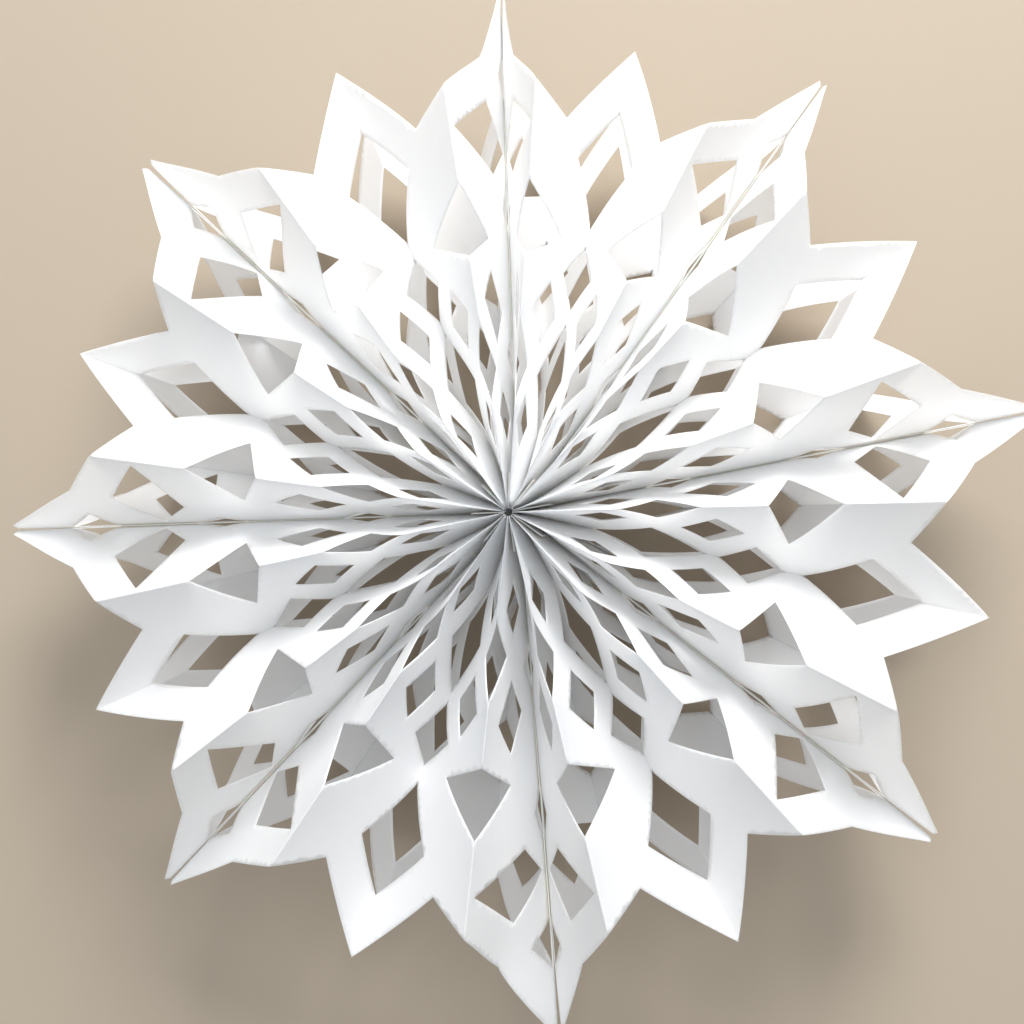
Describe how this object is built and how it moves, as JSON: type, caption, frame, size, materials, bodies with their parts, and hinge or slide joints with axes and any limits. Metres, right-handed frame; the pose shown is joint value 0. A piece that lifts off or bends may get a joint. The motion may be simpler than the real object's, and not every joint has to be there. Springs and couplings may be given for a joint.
{
  "type": "paper snowflake star",
  "caption": "Three-dimensional snowflake star of white gusseted paper bags glued in a ring and cut with diamond holes; it folds flat like a fan.",
  "frame": {"origin": "centre of the star, in the plane of its tips, on the line where the bags' bottoms meet", "axes": "+Z along the hub, out of the upper face; +X close to the taped closing seam; the star lies on its lower edge folds"},
  "size_m": [0.3924, 0.3954, 0.1264],
  "materials": {
    "paper": "matte white bag paper",
    "glue": "dried craft glue between two sheets",
    "tape": "double-sided tape, clear and matte"
  },
  "bodies": {
    "closing_side": {"bag_1_front": "paper", "bag_1_bottom": "paper", "bag_1_upper_gusset": "paper", "bag_1_lower_gusset": "paper", "closing_tape": "tape"},
    "seam_2": {"bag_1_back": "paper", "bag_2_front": "paper", "bag_2_bottom": "paper", "bag_2_upper_gusset": "paper", "bag_2_lower_gusset": "paper", "seam_glue_2": "glue"},
    "seam_3": {"bag_2_back": "paper", "bag_3_front": "paper", "bag_3_bottom": "paper", "bag_3_upper_gusset": "paper", "bag_3_lower_gusset": "paper", "seam_glue_3": "glue"},
    "seam_4": {"bag_3_back": "paper", "bag_4_front": "paper", "bag_4_bottom": "paper", "bag_4_upper_gusset": "paper", "bag_4_lower_gusset": "paper", "seam_glue_4": "glue"},
    "seam_5": {"bag_4_back": "paper", "bag_5_front": "paper", "bag_5_bottom": "paper", "bag_5_upper_gusset": "paper", "bag_5_lower_gusset": "paper", "seam_glue_5": "glue"},
    "seam_6": {"bag_5_back": "paper", "bag_6_front": "paper", "bag_6_bottom": "paper", "bag_6_upper_gusset": "paper", "bag_6_lower_gusset": "paper", "seam_glue_6": "glue"},
    "seam_7": {"bag_6_back": "paper", "bag_7_front": "paper", "bag_7_bottom": "paper", "bag_7_upper_gusset": "paper", "bag_7_lower_gusset": "paper", "seam_glue_7": "glue"},
    "seam_8": {"bag_7_back": "paper", "bag_8_front": "paper", "bag_8_bottom": "paper", "bag_8_upper_gusset": "paper", "bag_8_lower_gusset": "paper", "seam_glue_8": "glue"},
    "last_side": {"bag_8_back": "paper"}
  },
  "joints": [
    {"name": "bag_1_fold", "type": "hinge", "parent": "closing_side", "child": "seam_2", "pos_m": [0.00159, 0.00102, 0], "axis": [0, 0, 1], "range_deg": [-41, 0], "deforming": ["bag_1_front", "bag_1_back", "bag_1_upper_gusset", "bag_1_lower_gusset"]},
    {"name": "bag_2_fold", "type": "hinge", "parent": "seam_2", "child": "seam_3", "pos_m": [0.00063, 0.00209, 0], "axis": [0, 0, 1], "range_deg": [-35, 0], "deforming": ["bag_2_front", "bag_2_back", "bag_2_upper_gusset", "bag_2_lower_gusset"]},
    {"name": "bag_3_fold", "type": "hinge", "parent": "seam_3", "child": "seam_4", "pos_m": [-0.00076, 0.00166, 0], "axis": [0, 0, 1], "range_deg": [-42.5, 0], "deforming": ["bag_3_front", "bag_3_back", "bag_3_upper_gusset", "bag_3_lower_gusset"]},
    {"name": "bag_4_fold", "type": "hinge", "parent": "seam_4", "child": "seam_5", "pos_m": [-0.00171, 0.00064, 0], "axis": [0, 0, 1], "range_deg": [-42.5, 0], "deforming": ["bag_4_front", "bag_4_back", "bag_4_upper_gusset", "bag_4_lower_gusset"]},
    {"name": "bag_5_fold", "type": "hinge", "parent": "seam_5", "child": "seam_6", "pos_m": [-0.00169, -0.00076, 0], "axis": [0, 0, 1], "range_deg": [-42, 0], "deforming": ["bag_5_front", "bag_5_back", "bag_5_upper_gusset", "bag_5_lower_gusset"]},
    {"name": "bag_6_fold", "type": "hinge", "parent": "seam_6", "child": "seam_7", "pos_m": [-0.00057, -0.00162, 0], "axis": [0, 0, 1], "range_deg": [-45.5, 0], "deforming": ["bag_6_front", "bag_6_back", "bag_6_upper_gusset", "bag_6_lower_gusset"]},
    {"name": "bag_7_fold", "type": "hinge", "parent": "seam_7", "child": "seam_8", "pos_m": [0.00082, -0.00153, 0], "axis": [0, 0, 1], "range_deg": [-45, 0], "deforming": ["bag_7_front", "bag_7_back", "bag_7_upper_gusset", "bag_7_lower_gusset"]},
    {"name": "bag_8_fold", "type": "hinge", "parent": "seam_8", "child": "last_side", "pos_m": [0.00164, -0.00039, 0], "axis": [0, 0, 1], "range_deg": [-46.5, 0], "deforming": ["bag_8_front", "bag_8_back", "bag_8_upper_gusset", "bag_8_lower_gusset"]}
  ]
}
